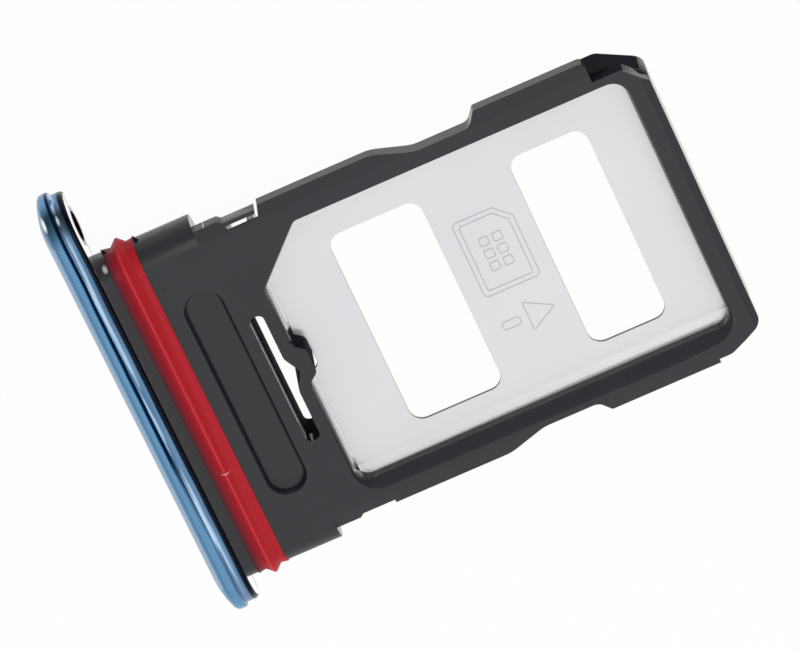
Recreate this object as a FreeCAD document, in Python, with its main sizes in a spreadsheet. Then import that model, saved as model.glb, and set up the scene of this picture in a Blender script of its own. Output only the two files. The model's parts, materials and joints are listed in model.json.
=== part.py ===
import FreeCAD, Part
import Sketcher
import math
import os
import re
from FreeCAD import Vector

# A two-sided nano card tray: a metal end cap, a moulded body with a card bay on each face, a thin
# steel sheet moulded into the body between the two bays, and a rubber seal in a groove of the neck.
# +X is the way the tray goes in, +Z is up, and the origin is the middle of the footprint.

SIZES = {
    # end cap
    "cap_length": 15.03,
    "cap_height": 2.6,
    "cap_rim": 0.65,
    "cap_flange": 0.42,
    "flange_inset": 0.13,
    "dome_radius": 2.8,
    "cap_rounding": 0.2,
    "rim_rounding": 0.09,
    "flange_rounding": 0.12,
    "cap_offset": 0.65,
    "eject_bore": 1.0,
    "spigot_length": 0.3,
    "spigot_width": 8.6,
    "spigot_height": 0.9,
    "spigot_radius": 0.3,
    # neck and shoulder, which the seal goes round
    "collar_length": 0.32,
    "shoulder_length": 1.815,
    "shoulder_width": 11.67,
    "shoulder_radius": 0.7,
    "neck_offset": -0.14,
    "groove_depth": 0.32,
    # seal
    "seal_width": 0.975,
    "seal_lip": 0.04,
    "ridge_height": 0.23,
    "ridge_width": 0.5,
    "ridge_tip": 0.06,
    # bays for the 12.3 x 8.8 x 0.67 mm cards
    "bridge_length": 1.24,
    "bay_length": 12.35,
    "bay_width": 8.9,
    "bay_depth": 0.72,
    "bay_radius": 0.5,
    "key_cut": 1.65,
    "key_radius": 0.3,
    "lead_depth": 0.22,
    "lead_angle": 20,
    "side_lead_depth": 0.3,
    "side_lead_angle": 49,
    "side_lead_inset": 0.25,
    # rails
    "end_wall": 0.78,
    "rail_width": 0.58,
    "lug_width": 0.42,
    "lug_drop": 0.12,
    "flange_level": 0.21,
    "stub_length": 0.79,
    "relief_length": 1.185,
    "relief_slope": 0.13,
    "relief_depth": 0.11,
    "front_lug": 3.845,
    "ramp_length": 1.235,
    "ramp_radius": 1.2,
    "notch_length": 1.815,
    "notch_radius": 0.35,
    "notch_rise": 0.3,
    "lug_radius": 0.1,
    # keel, which keys the tray to one way up
    "keel_width": 0.39,
    "keel_lap": 0.2,
    "keel_lead": 0.15,
    "keel_step": 0.14,
    "keel_corner_length": 1.28,
    "keel_corner_width": 0.71,
    "keel_corner_radius": 0.3,
    # nose
    "nose_length": 1.6,
    "nose_step": 0.14,
    "nose_corner_length": 1.18,
    "nose_corner_width": 0.6,
    "nose_radius": 0.4,
    "nose_bevel": 0.24,
    "nose_drop": 0.1,
    "ledge_width": 0.19,
    "ledge_end_radius": 0.2,
    "top_corner_length": 0.66,
    "top_corner_width": 0.72,
    "top_corner_radius": 0.15,
    # spring arm with its slot and bump
    "arm_thickness": 0.44,
    "slot_width": 0.39,
    "slot_ledge": 0.06,
    "slot_length": 4.52,
    "slot_shift": -0.12,
    "bulge_height": 0.3,
    "bulge_length": 1.15,
    "bulge_shift": -0.09,
    "bulge_radius": 0.12,
    "bulge_foot": 0.4,
    "bump_height": 0.3,
    "bump_length": 1.3,
    "bump_flat": 0.84,
    "bump_shift": 0.08,
    "bump_radius": 0.2,
    "bump_foot": 0.15,
    # retention finger on the side
    "slit_width": 0.13,
    "finger_thickness": 0.11,
    "finger_gap": 0.09,
    "finger_slant": 0.333,
    "finger_web": 0.1,
    "well_start": 0.2,
    "well_length": 0.64,
    "well_gap": 0.16,
    "well_end": 0.3,
    "well_depth": 0.42,
    # recessed pad
    "pad_width": 1.075,
    "pad_length": 7.15,
    "pad_depth": 0.22,
    "pad_gap": 0.505,
    "pad_shift": -0.055,
    "pad_draft": 25,
    # steel sheet
    "sheet": 0.12,
    "sheet_hold": 0.25,
    "sheet_gap": 0.09,
    "window_shift": -0.13,
    "window_length": 6.8,
    "window_one": 3.01,
    "window_one_start": 2.235,
    "window_two": 2.52,
    "window_bar": 2.92,
    "window_radius": 0.45,
    "notch_gap": 0.07,
    # straight piece left between two rounded corners of an end
    "end_flat": 0.02,
    # how far a cut runs out past the edge it trims
    "overrun": 0.1,
}
SAME_PLACE = 1e-4

os.makedirs("parts", exist_ok=True)
doc = FreeCAD.newDocument("card_tray")
sheet = doc.addObject("Spreadsheet::Sheet", "sizes")
for row, (name, value) in enumerate(SIZES.items(), start=1):
    sheet.set(f"A{row}", name)
    sheet.set(f"B{row}", str(value))
    sheet.setAlias(f"B{row}", name)
doc.recompute()

# Places along X, from the outer face of the cap to the far end.
LENGTH = (
    "(cap_rim + cap_flange + collar_length + seal_width + shoulder_length"
    " + bridge_length + bay_length + end_wall)"
)
CAP_FACE = f"(-{LENGTH} / 2)"
CAP_STEP = f"({CAP_FACE} + cap_rim)"
CAP_BACK = f"({CAP_STEP} + cap_flange)"
GROOVE = f"({CAP_BACK} + collar_length)"
SHOULDER = f"({GROOVE} + seal_width)"
SHOULDER_END = f"({SHOULDER} + shoulder_length)"
BAY = f"({SHOULDER_END} + bridge_length)"
BAY_END = f"({BAY} + bay_length)"
FAR_END = f"({BAY_END} + end_wall)"
SLOT = f"({BAY} - arm_thickness - slot_width)"

# Places along a rail, from the shoulder to the nose.
RELIEF_START = f"({SHOULDER_END} + stub_length)"
RELIEF_END = f"({RELIEF_START} + relief_length)"
RAMP = f"({RELIEF_END} + front_lug)"
NOTCH = f"({RAMP} + ramp_length)"
RISE = f"({NOTCH} + notch_length)"
REAR_LUG = f"({RISE} + notch_rise)"
LUG_END = f"({FAR_END} - nose_length)"

# Places along Z and Y.
MIDDLE = "(cap_height / 2)"
BODY_HEIGHT = "(2 * bay_depth + sheet)"
BODY_TOP = f"({MIDDLE} + {BODY_HEIGHT} / 2)"
BODY_BOTTOM = f"({MIDDLE} - {BODY_HEIGHT} / 2)"
SHEET_TOP = f"({MIDDLE} + sheet / 2)"
SHEET_BOTTOM = f"({MIDDLE} - sheet / 2)"
FLANGE = f"({MIDDLE} + flange_level)"
RAIL = "(bay_width / 2 + rail_width)"
LUG = f"({RAIL} + lug_width)"
KEEL = "(bay_width / 2 + keel_width)"
KEEL_NOSE = f"({KEEL} + keel_step)"
NOSE = f"({LUG} - nose_step)"
LEDGE = f"({KEEL_NOSE} - ledge_width)"
RELIEF = f"({LUG} - relief_depth)"
FINGER = f"({RELIEF} - finger_thickness)"
CAP_LOW = "(cap_offset - cap_length / 2 + cap_height / 2)"
CAP_HIGH = "(cap_offset + cap_length / 2 - cap_height / 2)"


def bound(formula):
    """The formula with every size read from the sheet."""
    return re.sub(r"[a-z]\w*", lambda word: "sizes." + word.group(), formula)


def number(formula):
    return float(sheet.evalExpression(bound(formula)))


def new_body(label):
    body = doc.addObject("PartDesign::Body", label)
    body.Label = label
    return body


def new_sketch(body, name, plane, level="0", across="0"):
    """A sketch on one of the body's own planes, moved along its normal and its second axis."""
    sketch = body.newObject("Sketcher::SketchObject", name)
    support = [item for item in body.Origin.OriginFeatures if item.Role == plane][0]
    sketch.AttachmentSupport = [(support, "")]
    sketch.MapMode = "FlatFace"
    sketch.setExpression("AttachmentOffset.Base.z", bound(level))
    sketch.setExpression("AttachmentOffset.Base.y", bound(across))
    return sketch


def place(sketch, geometry, point, x, y):
    """Hold a point of the sketch at x, y from its origin."""
    for kind, formula in (("DistanceX", x), ("DistanceY", y)):
        index = sketch.addConstraint(
            Sketcher.Constraint(kind, -1, 1, geometry, point, number(formula))
        )
        sketch.setExpression(f"Constraints[{index}]", bound(formula))


def hold_radius(sketch, geometry, radius):
    index = sketch.addConstraint(Sketcher.Constraint("Radius", geometry, number(radius)))
    sketch.setExpression(f"Constraints[{index}]", bound(radius))


def outline(sketch, corners):
    """A closed outline through corners (x, y) or (x, y, radius), anticlockwise."""
    first_line = len(sketch.Geometry)
    count = len(corners)
    points = [Vector(number(corner[0]), number(corner[1]), 0) for corner in corners]
    radii = [number(corner[2]) if len(corner) > 2 else 0 for corner in corners]
    turns = []
    for i in range(count):
        before = (points[i] - points[i - 1]).normalize()
        after = (points[(i + 1) % count] - points[i]).normalize()
        reach = radii[i] * math.tan(before.getAngle(after) / 2)
        turns.append((points[i] - before * reach, points[i] + after * reach, before, after))
    for i in range(count):
        sketch.addGeometry(Part.LineSegment(turns[i][1], turns[(i + 1) % count][0]), False)
    for i in range(count):
        line = first_line + i
        before_line = first_line + (i - 1) % count
        if not radii[i]:
            sketch.addConstraint(Sketcher.Constraint("Coincident", before_line, 2, line, 1))
            place(sketch, line, 1, corners[i][0], corners[i][1])
            continue
        arrive, leave, before, after = turns[i]
        left = before.cross(after).z > 0
        side = Vector(-before.y, before.x, 0) * (radii[i] if left else -radii[i])
        centre = arrive + side
        middle = points[i] - centre
        middle = centre + middle.normalize() * radii[i]
        arc = Part.Arc(arrive, middle, leave) if left else Part.Arc(leave, middle, arrive)
        rounded = sketch.addGeometry(arc, False)
        first, last = (1, 2) if left else (2, 1)
        vertex = sketch.addGeometry(Part.Point(points[i]), True)
        sketch.addConstraint(Sketcher.Constraint("Tangent", before_line, 2, rounded, first))
        sketch.addConstraint(Sketcher.Constraint("Tangent", rounded, last, line, 1))
        sketch.addConstraint(Sketcher.Constraint("PointOnObject", vertex, 1, before_line))
        sketch.addConstraint(Sketcher.Constraint("PointOnObject", vertex, 1, line))
        hold_radius(sketch, rounded, corners[i][2])
        place(sketch, vertex, 1, corners[i][0], corners[i][1])


def box(left, right, low, high, radius=None):
    """The corners of a rectangle, anticlockwise, rounded where a radius is given."""
    corners = [(left, low), (right, low), (right, high), (left, high)]
    return [corner + (radius,) for corner in corners] if radius else corners


def mirrored(corners):
    """The same corners on the other side of the centre line."""
    return [(corner[0], f"-{corner[1]}") + corner[2:] for corner in corners]


def extrude(body, kind, sketch, length, reverse=False, taper=None):
    """A pad or pocket of the sketch; reverse=True turns it to the other side."""
    feature = body.newObject(f"PartDesign::{kind}", f"{sketch.Label}_{kind.lower()}")
    feature.Profile = sketch
    feature.Reversed = reverse
    feature.setExpression("Length", bound(length))
    if taper:
        feature.setExpression("TaperAngle", bound(taper))
    sketch.Visibility = False
    doc.recompute()
    return feature


def round_edges(body, name, level, radius):
    """Round every edge of the body so far that lies whole at one place along X."""
    base = body.Tip
    edges = []
    for index, edge in enumerate(base.Shape.Edges, start=1):
        limits = (edge.BoundBox.XMin, edge.BoundBox.XMax)
        if all(abs(limit - level) < SAME_PLACE for limit in limits):
            edges.append(f"Edge{index}")
    rounding = body.newObject("PartDesign::Fillet", name)
    rounding.Base = (base, edges)
    rounding.setExpression("Radius", bound(radius))
    doc.recompute()


def domed(sketch, axis, low):
    """Section of the rim, from low to half its height above the axis, with the domed face."""
    high = f"({axis} + cap_height / 2)"
    radius = number("dome_radius")
    centre = Vector(number(f"({CAP_FACE} + dome_radius)"), number(axis), 0)

    def on_dome(level):
        return centre + Vector(-math.sqrt(radius**2 - (level - centre.y) ** 2), level - centre.y, 0)

    start, end = on_dome(number(low)), on_dome(number(high))
    step = number(CAP_STEP)
    corners = [start, Vector(step, start.y, 0), Vector(step, end.y, 0), end]
    for first, last in zip(corners, corners[1:]):
        sketch.addGeometry(Part.LineSegment(first, last), False)
    arc = Part.Arc(end, on_dome((start.y + end.y) / 2), start)
    dome = sketch.addGeometry(arc, False)
    joined = ((0, 1), (1, 2), (2, dome))
    for line, following in joined:
        sketch.addConstraint(Sketcher.Constraint("Coincident", line, 2, following, 1))
    sketch.addConstraint(Sketcher.Constraint("Coincident", dome, 2, 0, 1))
    sketch.addConstraint(Sketcher.Constraint("Horizontal", 0))
    sketch.addConstraint(Sketcher.Constraint("Horizontal", 2))
    place(sketch, 1, 1, CAP_STEP, low)
    place(sketch, 1, 2, CAP_STEP, high)
    place(sketch, dome, 3, f"({CAP_FACE} + dome_radius)", axis)
    hold_radius(sketch, dome, "dome_radius")
    return end.x


def cap():
    """Stadium-shaped rim with a domed outer face, a smaller flange behind it and the pin hole."""
    body = new_body("end_cap")
    bar = new_sketch(body, "rim_section", "XZ_Plane", f"-{CAP_LOW}")
    dome_edge = domed(bar, MIDDLE, "0")
    extrude(body, "Pad", bar, "(cap_length - cap_height)", reverse=True)
    for name, axis in (("rim_low_end", CAP_LOW), ("rim_high_end", CAP_HIGH)):
        end = new_sketch(body, name, "XY_Plane", MIDDLE, axis)
        domed(end, "0", "0")
        turned = body.newObject("PartDesign::Revolution", f"{name}_turned")
        turned.Profile = end
        turned.ReferenceAxis = (end, ["H_Axis"])
        turned.Angle = 360
        end.Visibility = False
        doc.recompute()
    round_edges(body, "face_rounding", dome_edge, "cap_rounding")
    round_edges(body, "step_rounding", number(CAP_STEP), "rim_rounding")
    flange = new_sketch(body, "flange", "YZ_Plane", CAP_STEP)
    inner = box(
        "(cap_offset - cap_length / 2 + flange_inset)",
        "(cap_offset + cap_length / 2 - flange_inset)",
        "flange_inset",
        "(cap_height - flange_inset)",
        "(cap_height / 2 - flange_inset - end_flat / 2)",
    )
    outline(flange, inner)
    extrude(body, "Pad", flange, "cap_flange")
    round_edges(body, "back_rounding", number(CAP_BACK), "flange_rounding")
    socket = new_sketch(body, "spigot_socket", "YZ_Plane", CAP_BACK)
    outline(socket, spigot_section())
    extrude(body, "Pocket", socket, "spigot_length")
    hole = new_sketch(body, "eject_hole", "YZ_Plane", CAP_FACE)
    centre = Vector(number(CAP_HIGH), number(MIDDLE), 0)
    ring = hole.addGeometry(Part.Circle(centre, Vector(0, 0, 1), number("eject_bore / 2")), False)
    place(hole, ring, 3, CAP_HIGH, MIDDLE)
    hold_radius(hole, ring, "(eject_bore / 2)")
    extrude(body, "Pocket", hole, "(cap_rim + cap_flange)", reverse=True)
    return body


def neck_section(inset="0"):
    """The rounded section of the neck, or of the groove's core when it is inset."""
    return box(
        f"(neck_offset - shoulder_width / 2 + {inset})",
        f"(neck_offset + shoulder_width / 2 - {inset})",
        f"({BODY_BOTTOM} + {inset})",
        f"({BODY_TOP} - {inset})",
        f"(shoulder_radius - {inset})",
    )


def spigot_section():
    return box(
        "(neck_offset - spigot_width / 2)",
        "(neck_offset + spigot_width / 2)",
        f"({MIDDLE} - spigot_height / 2)",
        f"({MIDDLE} + spigot_height / 2)",
        "spigot_radius",
    )


def bay_outline(grow="0", gap="0"):
    """The card's own shape: a rectangle with one corner cut off, at the cap end on +Y."""
    side = f"(bay_width / 2 + {grow})"
    near = f"({BAY} + {gap})"
    return [
        (near, f"-{side}", "bay_radius"),
        (f"({BAY_END} + {grow})", f"-{side}", "bay_radius"),
        (f"({BAY_END} + {grow})", side, "bay_radius"),
        (f"({BAY} + key_cut)", side, "key_radius"),
        (near, f"({side} - key_cut)", "key_radius"),
    ]


def rail_outline():
    """Plan of the upper flange: lugs, a ramped notch on each side, reliefs and the nose."""
    side = [
        (SHOULDER_END, LUG),
        (RELIEF_START, LUG),
        (f"({RELIEF_START} + relief_slope)", RELIEF),
        (RELIEF_END, RELIEF),
        (RELIEF_END, LUG),
        (RAMP, LUG, "ramp_radius"),
        (NOTCH, RAIL, "ramp_radius"),
        (RISE, RAIL, "notch_radius"),
        (REAR_LUG, LUG, "lug_radius"),
    ]
    full_nose = [
        (LUG_END, LUG),
        (LUG_END, NOSE),
        (f"({FAR_END} - nose_corner_length)", NOSE, "nose_radius"),
        (FAR_END, f"({NOSE} - nose_corner_width)", "nose_radius"),
    ]
    ledged_nose = [
        (LUG_END, LUG, "ledge_end_radius"),
        (LUG_END, LEDGE),
        (f"({FAR_END} - top_corner_length)", LEDGE, "top_corner_radius"),
        (FAR_END, f"({LEDGE} - top_corner_width)", "top_corner_radius"),
    ]
    return mirrored(side + full_nose) + (side + ledged_nose)[::-1]


def keel_outline():
    """Plan of the narrower lower part, a little wider again at the nose."""
    side = [
        (SHOULDER_END, KEEL),
        (f"({LUG_END} - keel_lead)", KEEL),
        (f"({LUG_END} - keel_lead)", KEEL_NOSE),
        (f"({FAR_END} - keel_corner_length)", KEEL_NOSE, "nose_radius"),
        (FAR_END, f"({KEEL_NOSE} - keel_corner_width)", "keel_corner_radius"),
    ]
    return mirrored(side) + side[::-1]


def shape_neck(body):
    """Neck and shoulder in one rounded section, with the seal's groove and the cap's spigot."""
    neck = new_sketch(body, "neck", "YZ_Plane", CAP_BACK)
    outline(neck, neck_section())
    extrude(body, "Pad", neck, "(collar_length + seal_width + shoulder_length)")
    groove = new_sketch(body, "groove", "YZ_Plane", SHOULDER)
    outline(groove, box("-shoulder_width", "shoulder_width", "-cap_height", "2 * cap_height"))
    outline(groove, neck_section("groove_depth"))
    extrude(body, "Pocket", groove, "seal_width")
    spigot = new_sketch(body, "spigot", "YZ_Plane", f"({CAP_BACK} - spigot_length)")
    outline(spigot, spigot_section())
    extrude(body, "Pad", spigot, "spigot_length")


def shape_rails(body):
    """The upper flange and the keel, with sloping lugs and a bevelled nose."""
    flange = new_sketch(body, "flange_plan", "XY_Plane", FLANGE)
    outline(flange, rail_outline())
    extrude(body, "Pad", flange, f"({BODY_TOP} - {FLANGE})")
    keel = new_sketch(body, "keel_plan", "XY_Plane", BODY_BOTTOM)
    outline(keel, keel_outline())
    extrude(body, "Pad", keel, f"({FLANGE} - {BODY_BOTTOM})")
    slope = new_sketch(body, "lug_slope", "YZ_Plane", FAR_END)
    for sign in ("", "-"):
        low = f"({BODY_TOP} - lug_drop * (lug_width + overrun) / lug_width)"
        wedge = [
            (f"{sign}{RAIL}", BODY_TOP),
            (f"{sign}({LUG} + overrun)", low),
            (f"{sign}({LUG} + overrun)", BODY_TOP),
        ]
        outline(slope, wedge if sign else wedge[::-1])
    extrude(body, "Pocket", slope, f"({FAR_END} - {SHOULDER_END})")
    bevel = new_sketch(body, "nose_bevel", "XZ_Plane", f"-{LUG}")
    for sign in ("", "-"):
        level = BODY_BOTTOM if sign else BODY_TOP
        drop = f"({level} + nose_drop)" if sign else f"({level} - nose_drop)"
        wedge = [(f"({FAR_END} - nose_bevel)", level), (FAR_END, drop), (FAR_END, level)]
        outline(bevel, wedge[::-1] if sign else wedge)
    extrude(body, "Pocket", bevel, f"(2 * {LUG})", reverse=True)


def shape_bays(body):
    """A bay from each face with a sloping mouth, the sheet's seat and openings in the keel."""
    for name, level, up in (("top", SHEET_TOP, True), ("bottom", SHEET_BOTTOM, False)):
        sign = "+" if up else "-"
        bay = new_sketch(body, f"bay_{name}", "XY_Plane", level)
        outline(bay, bay_outline())
        extrude(body, "Pocket", bay, "bay_depth", reverse=up)
        edge = f"({level} {sign} (bay_depth - lead_depth))"
        mouth = new_sketch(body, f"mouth_{name}", "XY_Plane", edge)
        outline(mouth, bay_outline())
        extrude(body, "Pocket", mouth, "lead_depth", reverse=up, taper="lead_angle")
        edge = f"({level} {sign} (bay_depth - side_lead_depth))"
        side = new_sketch(body, f"side_lead_{name}", "XY_Plane", edge)
        near = f"({BAY} + side_lead_inset)"
        far = f"({BAY_END} - side_lead_inset)"
        outline(side, box(near, far, "-bay_width / 2", "0", "bay_radius"))
        extrude(body, "Pocket", side, "side_lead_depth", reverse=up, taper="side_lead_angle")
    seat = new_sketch(body, "sheet_seat", "XY_Plane", SHEET_TOP)
    outline(seat, bay_outline("sheet_hold"))
    extrude(body, "Pocket", seat, "sheet")
    gap = box(
        f"({RAMP} + keel_lap)",
        f"({REAR_LUG} - keel_lap)",
        "(bay_width / 2 - overrun)",
        f"({KEEL} + overrun)",
    )
    gaps = new_sketch(body, "keel_gaps", "XY_Plane", SHEET_BOTTOM)
    outline(gaps, gap)
    outline(gaps, mirrored(gap)[::-1])
    extrude(body, "Pocket", gaps, "bay_depth")


def slot_outline(outer):
    """The slot behind the arm, with a bulge that follows the bump."""
    low = "(slot_shift - slot_length / 2)"
    high = "(slot_shift + slot_length / 2)"
    inner = f"({BAY} - arm_thickness)"
    round_end = "((slot_width - end_flat) / 2)"
    return [
        (outer, low, round_end),
        (inner, low, round_end),
        (inner, "(bulge_shift - bulge_length / 2)", "bulge_foot"),
        (f"({inner} + bulge_height)", "bulge_shift", "bulge_radius"),
        (inner, "(bulge_shift + bulge_length / 2)", "bulge_foot"),
        (inner, high, round_end),
        (outer, high, round_end),
    ]


def shape_arm(body):
    """The spring arm: a bump into the bay, and behind it a slot with a ledge part way down."""
    tip = f"({BAY} + bump_height)"
    root = f"({BAY} - arm_thickness / 2)"
    half = "bump_length / 2"
    bump = new_sketch(body, "bump", "XY_Plane", BODY_BOTTOM)
    corners = [
        (root, f"(bump_shift - {half} - bump_foot)"),
        (BAY, f"(bump_shift - {half} - bump_foot)"),
        (BAY, f"(bump_shift - {half})", "bump_radius"),
        (tip, "(bump_shift - bump_flat / 2)", "bump_radius"),
        (tip, "(bump_shift + bump_flat / 2)", "bump_radius"),
        (BAY, f"(bump_shift + {half})", "bump_radius"),
        (BAY, f"(bump_shift + {half} + bump_foot)"),
        (root, f"(bump_shift + {half} + bump_foot)"),
    ]
    outline(bump, corners)
    extrude(body, "Pad", bump, BODY_HEIGHT)
    slot = new_sketch(body, "slot", "XY_Plane", BODY_TOP)
    outline(slot, slot_outline(SLOT))
    extrude(body, "Pocket", slot, BODY_HEIGHT)
    ledge = new_sketch(body, "slot_ledge", "XY_Plane", BODY_TOP)
    outline(ledge, slot_outline(f"({SLOT} - slot_ledge)"))
    extrude(body, "Pocket", ledge, f"({BODY_TOP} - {FLANGE})")


def shape_details(body):
    """The slit that frees the retention finger, the wells under it, and the recessed pad."""
    root = f"({RELIEF_START} + relief_slope)"
    inner = f"({FINGER} - slit_width)"
    beyond = f"({LUG} + overrun)"
    slit = new_sketch(body, "finger_slit", "XY_Plane", BODY_TOP)
    corners = [
        (root, inner),
        (f"({RELIEF_END} + finger_gap - (finger_thickness + slit_width) * finger_slant)", inner),
        (f"({RELIEF_END} + finger_gap + (relief_depth + overrun) * finger_slant)", beyond),
        (RELIEF_END, beyond),
        (RELIEF_END, RELIEF),
        (f"({RELIEF_END} - finger_thickness * finger_slant)", FINGER),
        (root, FINGER),
    ]
    outline(slit, corners)
    extrude(body, "Pocket", slit, f"({BODY_TOP} - {FLANGE})")
    first = f"({RELIEF_START} + well_start)"
    second = f"({first} + well_length + well_gap)"
    bottom = f"({KEEL} - well_depth)"
    wells = new_sketch(body, "finger_wells", "XY_Plane", BODY_BOTTOM)
    outline(wells, box(first, f"({first} + well_length)", bottom, FINGER))
    outline(wells, box(second, f"({second} + well_end)", bottom, FINGER))
    extrude(body, "Pocket", wells, f"({BODY_HEIGHT} - finger_web)", reverse=True)
    right = f"({SLOT} - slot_ledge - pad_gap)"
    left = f"({right} - pad_width)"
    low = "(pad_shift - pad_length / 2)"
    high = "(pad_shift + pad_length / 2)"
    pad = new_sketch(body, "label_pad", "XY_Plane", f"({BODY_TOP} - pad_depth)")
    outline(pad, box(left, right, low, high, "((pad_width - end_flat) / 2)"))
    extrude(body, "Pocket", pad, "pad_depth", reverse=True, taper="pad_draft")


def tray():
    body = new_body("tray_body")
    shape_neck(body)
    shape_rails(body)
    shape_bays(body)
    shape_arm(body)
    shape_details(body)
    return body


def plate():
    """Thin sheet held in the body on three sides, with two windows and a notch for the bump."""
    body = new_body("card_plate")
    flat = new_sketch(body, "plan", "XY_Plane", SHEET_BOTTOM)
    outline(flat, bay_outline("sheet_hold", "sheet_gap"))
    extrude(body, "Pad", flat, "sheet")
    start = f"({BAY} + window_one_start)"
    second = f"({start} + window_one + window_bar)"
    low = "(window_shift - window_length / 2)"
    high = "(window_shift + window_length / 2)"
    windows = new_sketch(body, "windows", "XY_Plane", SHEET_TOP)
    outline(windows, box(start, f"({start} + window_one)", low, high, "window_radius"))
    outline(windows, box(second, f"({second} + window_two)", low, high, "window_radius"))
    extrude(body, "Pocket", windows, "sheet")
    notch = new_sketch(body, "bump_notch", "XY_Plane", SHEET_TOP)
    half = "(bump_length / 2 + notch_gap)"
    flat_half = "(bump_flat / 2 + notch_gap)"
    edge = f"({BAY} + sheet_gap)"
    tip = f"({BAY} + bump_height + notch_gap)"
    corners = [
        (BAY, f"(bump_shift - {half})"),
        (edge, f"(bump_shift - {half})"),
        (tip, f"(bump_shift - {flat_half})", "bump_radius"),
        (tip, f"(bump_shift + {flat_half})", "bump_radius"),
        (edge, f"(bump_shift + {half})"),
        (BAY, f"(bump_shift + {half})"),
    ]
    outline(notch, corners)
    extrude(body, "Pocket", notch, "sheet")
    return body


def seal():
    """Rubber ring swept round the groove: a flat band with two lips and one ridge."""
    body = new_body("seal_ring")
    centre = f"({GROOVE} + seal_width / 2)"
    path = new_sketch(body, "path", "YZ_Plane", centre)
    corners = neck_section("groove_depth")
    top = (corners[0][0], corners[2][1])
    outline(path, corners[:3] + [("neck_offset", top[1])] + corners[3:])
    section = new_sketch(body, "section", "XZ_Plane", "-neck_offset")
    floor = f"({BODY_TOP} - groove_depth)"
    corners = [
        (GROOVE, floor),
        (SHOULDER, floor),
        (SHOULDER, f"({BODY_TOP} + seal_lip)"),
        (f"({centre} + ridge_width / 2)", BODY_TOP),
        (centre, f"({BODY_TOP} + ridge_height)", "ridge_tip"),
        (f"({centre} - ridge_width / 2)", BODY_TOP),
        (GROOVE, f"({BODY_TOP} + seal_lip)"),
    ]
    outline(section, corners)
    ring = body.newObject("PartDesign::AdditivePipe", "ring")
    ring.Profile = section
    ring.Spine = path
    section.Visibility = False
    path.Visibility = False
    doc.recompute()
    return body


parts = [cap(), tray(), plate(), seal()]
for body in parts:
    body.setExpression("Placement.Base.y", bound("-cap_offset"))
doc.recompute()
for item in doc.Objects:
    if {"Invalid", "Error"} & set(item.State):
        raise RuntimeError(f"{item.Name} failed: {item.State}")
for body in parts:
    if body.Shape.isNull() or not body.Shape.isValid():
        raise RuntimeError(f"{body.Label} has no valid shape")
for body in parts:
    body.Shape.exportStep(f"parts/{body.Label}.step")
    print(body.Label, len(body.Shape.Solids), round(body.Shape.Volume, 3))
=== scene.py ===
import json
import math

import bpy
from mathutils import Matrix, Vector

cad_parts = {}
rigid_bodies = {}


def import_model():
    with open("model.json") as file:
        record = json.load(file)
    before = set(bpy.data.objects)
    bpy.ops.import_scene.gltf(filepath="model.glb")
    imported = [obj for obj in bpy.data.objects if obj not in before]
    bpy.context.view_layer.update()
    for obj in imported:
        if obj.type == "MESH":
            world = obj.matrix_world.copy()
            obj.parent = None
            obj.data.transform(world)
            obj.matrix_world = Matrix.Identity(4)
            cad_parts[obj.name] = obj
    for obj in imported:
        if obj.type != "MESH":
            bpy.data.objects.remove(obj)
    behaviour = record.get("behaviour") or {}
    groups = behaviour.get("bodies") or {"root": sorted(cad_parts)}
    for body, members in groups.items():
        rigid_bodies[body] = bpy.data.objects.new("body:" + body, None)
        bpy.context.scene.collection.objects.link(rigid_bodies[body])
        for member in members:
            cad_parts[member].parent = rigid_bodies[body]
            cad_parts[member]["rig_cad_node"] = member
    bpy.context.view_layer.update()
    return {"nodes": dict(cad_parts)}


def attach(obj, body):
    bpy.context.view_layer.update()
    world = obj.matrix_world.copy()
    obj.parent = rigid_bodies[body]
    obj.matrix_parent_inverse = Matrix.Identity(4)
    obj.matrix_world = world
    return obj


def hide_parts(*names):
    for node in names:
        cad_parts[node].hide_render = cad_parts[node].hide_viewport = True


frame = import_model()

MM = 0.001

# End cap: the only part seen on the closed phone. A bar of aluminium milled
# with a rim and a flange behind it, anodised blue outside and left bare on
# its back, with a bored hole for the eject pin.


def select_only(*pieces):
    bpy.ops.object.select_all(action="DESELECT")
    for piece in pieces:
        piece.select_set(True)
        bpy.context.view_layer.objects.active = piece


def copy_of(node, name):
    doubles_within = 1e-7
    flat_within = math.radians(0.5)
    select_only(frame["nodes"][node])
    bpy.ops.object.duplicate()
    piece = bpy.context.active_object
    piece.name = name
    del piece["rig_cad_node"]
    bpy.ops.object.mode_set(mode="EDIT")
    bpy.ops.mesh.select_all(action="SELECT")
    bpy.ops.mesh.remove_doubles(threshold=doubles_within)
    bpy.ops.mesh.dissolve_limited(angle_limit=flat_within)
    bpy.ops.object.mode_set(mode="OBJECT")
    return piece


def soften(piece, width):
    sharp_over = math.radians(30)
    select_only(piece)
    bpy.ops.object.shade_smooth_by_angle(angle=sharp_over)
    bevel = piece.modifiers.new("softened edges", "BEVEL")
    bevel.width = width
    bevel.segments = 2
    bevel.limit_method = "ANGLE"
    bevel.angle_limit = sharp_over
    bevel.harden_normals = True
    bpy.ops.object.modifier_apply(modifier=bevel.name)
    flat = piece.modifiers.new("flat faces", "WEIGHTED_NORMAL")
    flat.keep_sharp = True
    flat.weight = 100
    bpy.ops.object.modifier_apply(modifier=flat.name)


def dress(piece, node, material):
    piece.data.materials.clear()
    piece.data.materials.append(material)
    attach(piece, "root")
    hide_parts(node)


def place_in(tree):
    return tree.nodes.new("ShaderNodeTexCoord").outputs["Object"]


def noise(tree, place, detail):
    texture = tree.nodes.new("ShaderNodeTexNoise")
    texture.inputs["Detail"].default_value = detail
    tree.links.new(place, texture.inputs["Vector"])
    return texture


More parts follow.
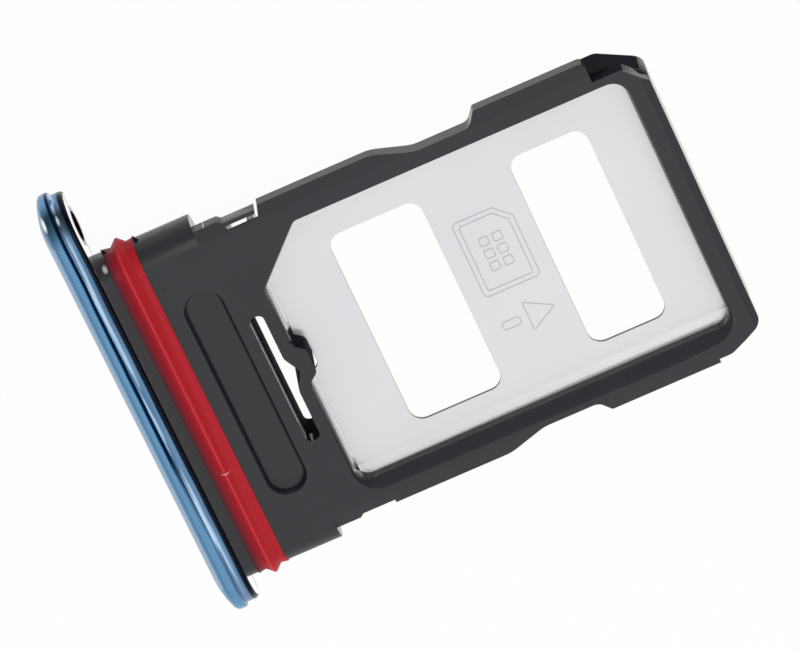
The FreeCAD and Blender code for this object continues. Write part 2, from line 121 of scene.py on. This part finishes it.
def fine_grain():
    cloud_scale = 260.0
    group = bpy.data.node_groups.new("fine_grain", "ShaderNodeTree")
    group.interface.new_socket("Scale", in_out="INPUT", socket_type="NodeSocketFloat")
    for title in ("Value", "Cloud"):
        group.interface.new_socket(title, in_out="OUTPUT", socket_type="NodeSocketFloat")
    start = group.nodes.new("NodeGroupInput")
    end = group.nodes.new("NodeGroupOutput")
    place = place_in(group)
    grain = noise(group, place, detail=3.0)
    group.links.new(start.outputs["Scale"], grain.inputs["Scale"])
    group.links.new(grain.outputs["Fac"], end.inputs["Value"])
    cloud = noise(group, place, detail=2.0)
    cloud.inputs["Scale"].default_value = cloud_scale
    group.links.new(cloud.outputs["Fac"], end.inputs["Cloud"])
    return group


GRAIN = fine_grain()


def grain_in(tree, scale):
    grain = tree.nodes.new("ShaderNodeGroup")
    grain.node_tree = GRAIN
    grain.inputs["Scale"].default_value = scale
    return grain.outputs["Value"], grain.outputs["Cloud"]


def blank_material(name):
    material = bpy.data.materials.new(name)
    material.use_nodes = True
    return material, material.node_tree, material.node_tree.nodes["Principled BSDF"]


def parts_of(tree, vector):
    split = tree.nodes.new("ShaderNodeSeparateXYZ")
    tree.links.new(vector, split.inputs[0])
    return [split.outputs[axis] for axis in "XYZ"]


def feed(tree, value, socket):
    if isinstance(value, float):
        socket.default_value = value
    elif isinstance(value, tuple):
        socket.default_value = (*value, 1.0)
    else:
        tree.links.new(value, socket)


def reckoned(tree, operation, *values):
    step = tree.nodes.new("ShaderNodeMath")
    step.operation = operation
    for value, socket in zip(values, step.inputs):
        feed(tree, value, socket)
    return step.outputs[0]


def product(tree, *masks):
    result = masks[0]
    for mask in masks[1:]:
        result = reckoned(tree, "MULTIPLY", result, mask)
    return result


def joined(tree, *masks):
    result = masks[0]
    for mask in masks[1:]:
        result = reckoned(tree, "MAXIMUM", result, mask)
    return result


def ranged(tree, source, low, high, start=0.0, end=1.0):
    span = tree.nodes.new("ShaderNodeMapRange")
    span.inputs["From Min"].default_value = start
    span.inputs["From Max"].default_value = end
    span.inputs["To Min"].default_value = low
    span.inputs["To Max"].default_value = high
    tree.links.new(source, span.inputs["Value"])
    return span.outputs["Result"]


def rising(tree, source, start, end):
    return ranged(tree, source, 0.0, 1.0, start * MM, end * MM)


def falling(tree, source, start, end):
    return ranged(tree, source, 1.0, 0.0, start * MM, end * MM)


def banded(tree, source, middle, half, edge):
    far = reckoned(tree, "ABSOLUTE", reckoned(tree, "SUBTRACT", source, middle))
    return ranged(tree, far, 1.0, 0.0, half - edge, half + edge)


def strip(tree, source, middle, half, edge):
    return banded(tree, source, middle * MM, half * MM, edge * MM)


def spot(tree, place, centre, stretch, radius, edge):
    vector = place
    for operation, values in (("SUBTRACT", [MM * part for part in centre]), ("MULTIPLY", stretch)):
        step = tree.nodes.new("ShaderNodeVectorMath")
        step.operation = operation
        step.inputs[1].default_value = values
        tree.links.new(vector, step.inputs[0])
        vector = step.outputs[0]
    far = tree.nodes.new("ShaderNodeVectorMath")
    far.operation = "LENGTH"
    tree.links.new(vector, far.inputs[0])
    return falling(tree, far.outputs["Value"], radius - edge, radius + edge)


def between(tree, mask, first, second):
    mix = tree.nodes.new("ShaderNodeMix")
    feed(tree, mask, mix.inputs["Factor"])
    feed(tree, first, mix.inputs["A"])
    feed(tree, second, mix.inputs["B"])
    return mix.outputs["Result"]


def mixed(tree, mask, first, second):
    mix = tree.nodes.new("ShaderNodeMix")
    mix.data_type = "RGBA"
    factor, first_colour, second_colour = mix.inputs[0], mix.inputs[6], mix.inputs[7]
    feed(tree, mask, factor)
    feed(tree, first, first_colour)
    feed(tree, second, second_colour)
    return mix.outputs[2]


def bumped(tree, height, distance, shader):
    bump = tree.nodes.new("ShaderNodeBump")
    bump.inputs["Distance"].default_value = distance
    tree.links.new(height, bump.inputs["Height"])
    tree.links.new(bump.outputs["Normal"], shader.inputs["Normal"])


def drawn_streaks(tree, place):
    drawn_out = (1.0, 0.04, 0.3)
    streak_scale = 9000.0
    faint, full = 0.46, 0.60
    along = tree.nodes.new("ShaderNodeMapping")
    along.inputs["Scale"].default_value = drawn_out
    tree.links.new(place, along.inputs["Vector"])
    streaks = noise(tree, along.outputs["Vector"], detail=3.0)
    streaks.inputs["Scale"].default_value = streak_scale
    return ranged(tree, streaks.outputs["Fac"], 0.0, 1.0, faint, full)


def anodised_blue():
    rim_blue = (0.120, 0.275, 0.46)
    rim_light_blue = (0.145, 0.310, 0.50)
    rim_tip_dark_reflection = (0.030, 0.080, 0.115)
    flange_pale_highlight = (0.50, 0.68, 0.88)
    flange_blue = (0.13, 0.26, 0.43)
    streak_blue = (0.10, 0.20, 0.34)
    foot_reflection_blue = (0.16, 0.24, 0.38)
    flange_tip_dark_reflection = (0.030, 0.040, 0.055)
    groove_shade_navy = (0.001, 0.012, 0.045)
    shade_black = (0.008, 0.010, 0.016)
    hole_shade_black = (0.004, 0.004, 0.005)
    bare_silver = (0.97, 0.97, 0.97)
    reflected_line_dark = (0.03, 0.03, 0.035)
    glint_white = (0.86, 0.95, 1.0)
    pin_hole = (0, 6.215, 1.30)
    hole_radius, sunk_radius, hole_edge = 0.51, 0.66, 0.01
    wave_height = 0.12 * MM
    cut_roughness = 0.12
    grain_depth = 0.000001

    material, tree, shader = blank_material("blue_anodised_aluminium")
    place = place_in(tree)
    x, y, z = parts_of(tree, place)
    grain, cloud = grain_in(tree, scale=9000.0)
    wavy = reckoned(tree, "MULTIPLY_ADD", cloud, wave_height, x)
    # Painted shade: a wavy navy line is coloured into the groove between rim and flange.
    groove_shade = product(
        tree,
        strip(tree, wavy, middle=-8.625, half=0.052, edge=0.015),
        rising(tree, y, start=-4.5, end=-1.5),
    )
    flange = rising(tree, x, start=-8.65, end=-8.62)
    # The front of the flange is pale, partly its paler cut face and partly a painted highlight,
    # fading to blue behind.
    highlight_fade = rising(tree, wavy, start=-8.50, end=-8.40)
    shade = rising(tree, wavy, start=-8.35, end=-8.29)
    bare_back = rising(tree, x, start=-8.2085, end=-8.2065)
    upper = rising(tree, z, start=1.7, end=2.1)
    # Painted reflection: the upper +Y tip of rim and flange is coloured dark, standing in for the
    # dark surroundings it mirrors.
    tip_reflection_mask = product(tree, rising(tree, y, start=6.2, end=7.1), upper)
    # Painted reflection: the flange turns greyish blue towards the -Y end.
    foot_reflection = falling(tree, y, start=-7.0, end=-5.8)
    # Painted reflection: a thin dark line across the bare back, where it mirrors the edge between
    # floor and backdrop.
    reflected_line = strip(tree, z, middle=1.16, half=0.075, edge=0.02)
    rear = rising(tree, x, start=-8.40, end=-8.35)
    # Painted shade: the bore of the pin hole and the ring around it on the back are coloured near
    # black.
    shaded_bore = spot(tree, place, pin_hole, (0, 1, 1), hole_radius, hole_edge)
    sunk = spot(tree, place, pin_hole, (0, 1, 1), sunk_radius, hole_edge)
    shaded_bore = joined(tree, shaded_bore, product(tree, sunk, rear))
    rim_glint = spot(tree, place, (-9.00, 7.02, 2.45), (2.4, 0.9, 0), radius=0.15, edge=0.06)
    flange_glint = spot(tree, place, (-8.56, 6.98, 2.30), (2.6, 0.9, 0), radius=0.10, edge=0.04)
    glint = product(tree, joined(tree, rim_glint, flange_glint), upper)

    rim = mixed(tree, cloud, rim_blue, rim_light_blue)
    rim = mixed(tree, tip_reflection_mask, rim, rim_tip_dark_reflection)
    edge = mixed(tree, highlight_fade, flange_pale_highlight, flange_blue)
    edge = mixed(tree, drawn_streaks(tree, place), edge, streak_blue)
    edge = mixed(tree, foot_reflection, edge, foot_reflection_blue)
    edge = mixed(tree, tip_reflection_mask, edge, flange_tip_dark_reflection)
    skin = mixed(tree, flange, rim, edge)
    skin = mixed(tree, groove_shade, skin, groove_shade_navy)
    skin = mixed(tree, shade, skin, shade_black)
    skin = mixed(tree, glint, skin, glint_white)
    skin = mixed(tree, bare_back, skin, mixed(tree, reflected_line, bare_silver, reflected_line_dark))
    feed(tree, mixed(tree, shaded_bore, skin, hole_shade_black), shader.inputs["Base Color"])
    shader.inputs["Metallic"].default_value = 1.0
    polish = between(tree, bare_back, ranged(tree, cloud, low=0.24, high=0.32), cut_roughness)
    feed(tree, polish, shader.inputs["Roughness"])
    bumped(tree, grain, grain_depth, shader)
    return material


cap = copy_of("end_cap", "end_cap_shell")
cap_edge = 0.05 * MM
soften(cap, cap_edge)
dress(cap, "end_cap", anodised_blue())

# Tray body: one moulding of matt black plastic over the steel sheet, with the
# neck, two rails, the sprung arm beside its slot and the sunk pad. Low walls
# at the slot, the bump and the nose are left rough by the mould.


def lean_in(tree):
    return parts_of(tree, tree.nodes.new("ShaderNodeNewGeometry").outputs["Normal"])[2]


def black_plastic():
    black = (0.008, 0.008, 0.014)
    light_black = (0.015, 0.015, 0.022)
    shade_and_scuff_black = (0.002, 0.002, 0.003)
    painted_highlight_white = (0.95, 0.95, 0.95)
    pale_dot_grey = (0.55, 0.55, 0.60)
    wall_roughness, nose_roughness = 0.12, 0.70
    grain_depth = 0.000003

    material, tree, shader = blank_material("matt_black_plastic")
    place = place_in(tree)
    x, y, z = parts_of(tree, place)
    wall = banded(tree, lean_in(tree), middle=0.0, half=0.22, edge=0.12)
    # Painted shade: the nose's walls and slopes below the top are coloured near black; the same
    # mask makes them rougher. The scuffs below share that colour as real marks.
    nose = product(
        tree,
        rising(tree, x, start=7.3, end=7.9),
        rising(tree, y, start=3.7, end=4.2),
        falling(tree, z, start=1.98, end=2.03),
    )
    # Painted highlight: a thin white line along the upper part of the slot's -X wall.
    highlight_line = strip(tree, x, middle=-4.745, half=0.012, edge=0.004)
    slot_wall_highlight = product(tree, highlight_line, wall, rising(tree, z, start=1.50, end=1.56))
    foot_scuff = spot(tree, place, (-6.53, -5.20, 2.08), (0.8, 4.0, 0), radius=0.07, edge=0.03)
    head_scuff = spot(tree, place, (-6.65, 3.52, 2.08), (1.2, 3.0, 0), radius=0.09, edge=0.03)
    # A small pale dot on the neck beside the seal.
    pale_dot = spot(tree, place, (-7.97, 4.80, 2.05), (1, 0.8, 0), radius=0.07, edge=0.03)
    grain, cloud = grain_in(tree, scale=7000.0)

    skin = mixed(tree, cloud, black, light_black)
    skin = mixed(tree, joined(tree, nose, foot_scuff, head_scuff), skin, shade_and_scuff_black)
    skin = mixed(tree, pale_dot, skin, pale_dot_grey)
    feed(tree, mixed(tree, slot_wall_highlight, skin, painted_highlight_white), shader.inputs["Base Color"])
    satin = between(tree, wall, ranged(tree, cloud, low=0.36, high=0.46), wall_roughness)
    feed(tree, between(tree, nose, satin, nose_roughness), shader.inputs["Roughness"])
    bumped(tree, grain, grain_depth, shader)
    return material


def rough_mould_wall():
    black = (0.008, 0.009, 0.015)
    light_black = (0.013, 0.014, 0.021)
    material, tree, shader = blank_material("rough_mould_wall")
    cloud = grain_in(tree, scale=9000.0)[1]
    feed(tree, mixed(tree, cloud, black, light_black), shader.inputs["Base Color"])
    shader.inputs["Roughness"].default_value = 0.8
    shader.inputs["Specular IOR Level"].default_value = 0.05
    return material


def round_lead_in(piece):
    mouth_y, top_z = -5.445, 2.08
    within_y, within_z = 0.03, 0.01
    shortest = 1.0
    rounding = 0.12
    select_only(piece)
    bpy.ops.object.mode_set(mode="EDIT")
    bpy.ops.mesh.select_all(action="DESELECT")
    bpy.ops.object.mode_set(mode="OBJECT")
    for edge in piece.data.edges:
        first, second = (piece.data.vertices[index].co / MM for index in edge.vertices)
        on_line = [
            abs(end.y - mouth_y) < within_y and abs(end.z - top_z) < within_z
            for end in (first, second)
        ]
        edge.select = all(on_line) and (first - second).length > shortest
    bpy.ops.object.mode_set(mode="EDIT")
    bpy.ops.mesh.bevel(offset=rounding * MM, segments=5, affect="EDGES")
    bpy.ops.object.mode_set(mode="OBJECT")


def roughen_walls(piece, material):
    slot_walls = ((-4.95, -4.05), (-4.0, 4.0), (0.6, 1.53))
    walls_by_bump = ((-4.1, -3.4), (-1.6, 0.15), (0.0, 2.05))
    nose_walls = ((7.6, 9.3), (3.95, 5.1), (0.0, 2.03))
    steep = 0.6
    piece.data.materials.append(material)
    for face in piece.data.polygons:
        in_slot, by_bump, at_nose = (
            all(low < part / MM < high for part, (low, high) in zip(face.center, box))
            for box in (slot_walls, walls_by_bump, nose_walls)
        )
        if in_slot or abs(face.normal.z) < steep and (by_bump or at_nose):
            face.material_index = 1


body = copy_of("tray_body", "moulded_body")
body_edge = 0.018 * MM
round_lead_in(body)
soften(body, body_edge)
dress(body, "tray_body", black_plastic())
roughen_walls(body, rough_mould_wall())

# Mould nibs: two short points of flash left where the halves of the mould met
# on the neck, one each side of the seal. They are the body's own plastic.


def mould_nib(name, x):
    neck_y, mid_z = 5.07, 1.35
    root_radius, point_radius, length = 0.085, 0.012, 0.20
    middle_out, tip_out, lean = 0.06, 0.10, 0.06
    bpy.ops.object.select_all(action="DESELECT")
    bpy.ops.mesh.primitive_cone_add(
        vertices=8,
        radius1=root_radius * MM,
        radius2=point_radius * MM,
        depth=length * MM,
        location=(x * MM, (neck_y + middle_out) * MM, mid_z * MM),
        rotation=(math.radians(-90), 0, 0),
    )
    nib = bpy.context.active_object
    nib.name = name
    bpy.ops.object.transform_apply(location=True, rotation=True, scale=True)
    for point in nib.data.vertices:
        if point.co.y > (neck_y + tip_out) * MM:
            point.co.x -= lean * MM
    bpy.ops.object.shade_smooth_by_angle(angle=math.radians(60))
    nib.data.materials.append(bpy.data.materials["rough_mould_wall"])
    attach(nib, "root")


for number, nib_x in enumerate((-7.83, -6.80)):
    mould_nib(f"mould_nib_{number}", nib_x)

# Card plate: a stamped sheet of steel that the body is moulded around. It
# parts the two card bays, has two windows for the cards' contacts, and its
# -Y border curls up slightly.


def bright_steel():
    steel = (0.73, 0.73, 0.76)
    light_steel = (0.77, 0.77, 0.79)
    cut_edge_brown = (0.10, 0.085, 0.08)
    grain_depth = 0.000002

    material, tree, shader = blank_material("matt_steel_sheet")
    grain, cloud = grain_in(tree, scale=9000.0)
    cut_edge = banded(tree, lean_in(tree), middle=0.0, half=0.5, edge=0.2)
    skin = mixed(tree, cut_edge, mixed(tree, cloud, steel, light_steel), cut_edge_brown)
    feed(tree, skin, shader.inputs["Base Color"])
    shader.inputs["Metallic"].default_value = 0.65
    feed(tree, ranged(tree, cloud, low=0.18, high=0.25), shader.inputs["Roughness"])
    bumped(tree, grain, grain_depth, shader)
    return material


def curl_border(piece):
    start_y, end_y = -4.74, -5.10
    rise, power = 0.06, 1.6
    mid_z = 1.3
    cuts = 5
    select_only(piece)
    bpy.ops.object.mode_set(mode="EDIT")
    for cut in range(cuts):
        across = start_y + (end_y - start_y) * cut / (cuts - 1)
        bpy.ops.mesh.select_all(action="SELECT")
        bpy.ops.mesh.bisect(plane_co=(0, across * MM, 0), plane_no=(0, 1, 0))
    bpy.ops.object.mode_set(mode="OBJECT")
    for point in piece.data.vertices:
        share = (point.co.y / MM - start_y) / (end_y - start_y)
        if share > 0 and point.co.z > mid_z * MM:
            point.co.z += rise * MM * min(share, 1) ** power


plate = copy_of("card_plate", "steel_plate")
plate_edge = 0.01 * MM
curl_border(plate)
soften(plate, plate_edge)
dress(plate, "card_plate", bright_steel())

# Etched mark: a plain sign of a card with its contacts, and an arrow that
# shows which way it goes in. Its thin outlines stand a few microns out of the
# sheet between the two windows.

PLATE_TOP = 1.36 * MM
LINE = 0.035 * MM


def etched_steel():
    grey = (0.46, 0.46, 0.48)
    light_grey = (0.58, 0.58, 0.60)
    material, tree, shader = blank_material("etched_steel_line")
    cloud = grain_in(tree, scale=12000.0)[1]
    feed(tree, mixed(tree, cloud, grey, light_grey), shader.inputs["Base Color"])
    shader.inputs["Metallic"].default_value = 0.6
    feed(tree, ranged(tree, cloud, low=0.4, high=0.6), shader.inputs["Roughness"])
    return material


def hollow_face():
    bpy.ops.mesh.select_all(action="SELECT")
    bpy.ops.mesh.inset(thickness=LINE, depth=0)
    bpy.ops.mesh.delete(type="FACE")
    bpy.ops.object.mode_set(mode="OBJECT")
    return bpy.context.active_object


def outlined_card(x, y, width, length, corner, cut=0.0):
    bpy.ops.object.select_all(action="DESELECT")
    bpy.ops.mesh.primitive_plane_add(size=1, location=(x * MM, y * MM, PLATE_TOP))
    bpy.context.active_object.scale = (width * MM, length * MM, 1)
    bpy.ops.object.transform_apply(location=True, rotation=True, scale=True)
    mesh = bpy.context.active_object.data
    for offset, segments, wanted in ((cut, 1, True), (corner, 4, False)):
        if offset:
            bpy.ops.object.mode_set(mode="EDIT")
            bpy.ops.mesh.select_all(action="DESELECT")
            bpy.ops.object.mode_set(mode="OBJECT")
            for point in mesh.vertices:
                keyed = cut and point.co.x > x * MM and point.co.y > y * MM
                point.select = bool(keyed) == wanted
            bpy.ops.object.mode_set(mode="EDIT")
            bpy.ops.mesh.bevel(offset=offset * MM, segments=segments, affect="VERTICES")
            bpy.ops.object.mode_set(mode="OBJECT")
    bpy.ops.object.mode_set(mode="EDIT")
    return hollow_face()


def outlined_arrow(x, y, radius, corner):
    middle = (x * MM, y * MM, PLATE_TOP)
    bpy.ops.object.select_all(action="DESELECT")
    bpy.ops.mesh.primitive_circle_add(
        vertices=3, radius=radius * MM, fill_type="NGON", location=middle
    )
    bpy.ops.object.mode_set(mode="EDIT")
    bpy.ops.mesh.select_all(action="SELECT")
    bpy.ops.transform.rotate(value=math.radians(90), orient_axis="Z", center_override=middle)
    bpy.ops.mesh.bevel(offset=corner * MM, segments=4, affect="VERTICES")
    head = hollow_face()
    bpy.ops.object.transform_apply(location=True, rotation=True, scale=True)
    return head


def etched_outlines():
    card_x, card_y = 2.88, 0.05
    arrow_y, head_x, shaft_x = -2.40, 3.20, 2.36
    first_x, first_y = 2.66, -0.42
    pitch, contact = 0.44, 0.32
    outlines = [
        outlined_card(card_x, card_y, width=1.86, length=2.70, corner=0.16, cut=0.50),
        outlined_card(card_x, card_y, width=1.52, length=2.36, corner=0.10, cut=0.40),
        outlined_arrow(head_x, arrow_y, radius=0.62, corner=0.1),
        outlined_card(shaft_x, arrow_y, width=0.62, length=0.30, corner=0.10),
    ]
    for row in range(2):
        for column in range(3):
            contact_x, contact_y = first_x + pitch * row, first_y + pitch * column
            outlines.append(outlined_card(contact_x, contact_y, contact, contact, corner=0.06))
    return outlines


rings = etched_outlines()
select_only(*rings)
bpy.context.view_layer.objects.active = rings[0]
bpy.ops.object.join()
mark = bpy.context.active_object
mark.name = "etched_mark"
bpy.ops.object.transform_apply(location=True, rotation=True, scale=True)
thick = mark.modifiers.new("etched height", "SOLIDIFY")
thick.thickness = 0.012 * MM
thick.offset = 0.0
bpy.ops.object.modifier_apply(modifier=thick.name)
mark.data.materials.append(etched_steel())
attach(mark, "root")

# Seal: a ring of red silicone rubber stretched into the groove of the neck,
# with one raised lip all the way round that meets the phone's frame.


def red_rubber():
    red = (0.43, 0.007, 0.016)
    light_red = (0.50, 0.011, 0.022)
    flank_shade_red = (0.055, 0.008, 0.016)
    crest_highlight_red = (0.66, 0.045, 0.055)
    tick_pink = (0.90, 0.55, 0.55)
    grain_depth = 0.000003

    material, tree, shader = blank_material("red_silicone")
    place = place_in(tree)
    x = parts_of(tree, place)[0]
    # Painted shade: the seal darkens towards its -X flank.
    shaded_flank = falling(tree, x, start=-7.88, end=-7.50)
    # Painted highlight: a brighter red line along the crest of the lip.
    crest_highlight = strip(tree, x, middle=-7.43, half=0.03, edge=0.03)
    tick = spot(tree, place, (-7.41, -2.82, 2.3), (0.4, 3.5, 0), radius=0.05, edge=0.02)
    grain, cloud = grain_in(tree, scale=5000.0)

    skin = mixed(tree, cloud, red, light_red)
    skin = mixed(tree, shaded_flank, skin, flank_shade_red)
    skin = mixed(tree, crest_highlight, skin, crest_highlight_red)
    feed(tree, mixed(tree, tick, skin, tick_pink), shader.inputs["Base Color"])
    feed(tree, ranged(tree, cloud, low=0.42, high=0.55), shader.inputs["Roughness"])
    shader.inputs["Specular IOR Level"].default_value = 0.2
    bumped(tree, grain, grain_depth, shader)
    return material


seal = copy_of("seal_ring", "rubber_seal")
bpy.ops.object.shade_smooth_by_angle(angle=math.radians(50))
dress(seal, "seal_ring", red_rubber())

# Studio: a pale floor under the tray, a white wall of light around it and one
# round lamp above. To the camera and in reflections the floor is nearly white,
# and it keeps a faint shadow.

WHITE = (1.0, 1.0, 1.0)


def mixed_shaders(tree, factor, first, second, output):
    mix = tree.nodes.new("ShaderNodeMixShader")
    for value, socket in zip((factor, first, second), mix.inputs):
        tree.links.new(value, socket)
    tree.links.new(mix.outputs[0], output.inputs["Surface"])


def white_floor():
    white_share = 0.97
    pale = (0.86, 0.86, 0.86)
    material, tree, shader = blank_material("studio_white")
    feed(tree, pale, shader.inputs["Base Color"])
    shader.inputs["Roughness"].default_value = 0.9
    shader.inputs["Specular IOR Level"].default_value = 0.0
    glow = tree.nodes.new("ShaderNodeEmission")
    feed(tree, WHITE, glow.inputs["Color"])
    path = tree.nodes.new("ShaderNodeLightPath")
    rays = (path.outputs[f"Is {kind} Ray"] for kind in ("Camera", "Glossy", "Transmission"))
    share = reckoned(tree, "MULTIPLY", joined(tree, *rays), white_share)
    mixed_shaders(tree, share, shader.outputs[0], glow.outputs[0], tree.nodes["Material Output"])
    return material


def studio_floor():
    width = 1.2
    bpy.ops.object.select_all(action="DESELECT")
    bpy.ops.mesh.primitive_grid_add(
        x_subdivisions=4, y_subdivisions=4, size=width, location=(0, 0, 0)
    )
    floor = bpy.context.active_object
    floor.name = "studio_floor"
    floor.data.materials.append(white_floor())


def studio_world(scene):
    world = bpy.data.worlds.new("studio")
    scene.world = world
    world.use_nodes = True
    tree = world.node_tree
    place = tree.nodes.new("ShaderNodeTexCoord").outputs["Generated"]
    x, y = parts_of(tree, place)[:2]
    photo_side = ranged(tree, y, low=1.0, high=0.6, start=-0.15, end=0.5)
    cap_side = ranged(tree, x, low=0.6, high=1.0, start=-0.95, end=-0.45)
    nose_side = ranged(tree, x, low=1.0, high=0.5, start=0.25, end=0.75)
    lit = tree.nodes["Background"]
    feed(tree, WHITE, lit.inputs["Color"])
    level = product(tree, photo_side, product(tree, cap_side, nose_side))
    feed(tree, level, lit.inputs["Strength"])
    seen = tree.nodes.new("ShaderNodeBackground")
    feed(tree, WHITE, seen.inputs["Color"])
    camera_ray = tree.nodes.new("ShaderNodeLightPath").outputs["Is Camera Ray"]
    mixed_shaders(tree, camera_ray, lit.outputs[0], seen.outputs[0], tree.nodes["World Output"])


def overhead_lamp(scene):
    where = Vector((0.16, -0.02, 0.42))
    light = bpy.data.lights.new("overhead", "AREA")
    light.shape = "DISK"
    light.size = 0.30
    light.energy = 0.45
    lamp = bpy.data.objects.new("overhead", light)
    lamp.location = where
    lamp.rotation_euler = (-where).to_track_quat("-Z", "Y").to_euler()
    lamp.visible_camera = False
    scene.collection.objects.link(lamp)


scene = bpy.context.scene
scene.view_settings.view_transform = "Standard"
studio_floor()
studio_world(scene)
overhead_lamp(scene)

# Camera: a long lens high over the pin hole's side of the tray, rolled so that
# the cap lies at the left of the picture, as in the photograph.

azimuth, elevation, roll = map(math.radians, (78.0543, 65.1728, 167.4645))
aim = Vector((-0.7362, -0.9994, 1.3)) * MM
distance = 0.241289
level = math.cos(elevation)
back = Vector((level * math.cos(azimuth), level * math.sin(azimuth), math.sin(elevation)))
turn = back.to_track_quat("Z", "Y").to_matrix().to_4x4() @ Matrix.Rotation(roll, 4, "Z")
camera_data = bpy.data.cameras.new("camera")
camera_data.sensor_width = 36.0
camera_data.lens = 358.50
camera_data.clip_start = 0.02
camera_data.clip_end = 5.0
camera = bpy.data.objects.new("camera", camera_data)
camera.matrix_world = Matrix.Translation(aim + distance * back) @ turn
scene.collection.objects.link(camera)
scene.camera = camera
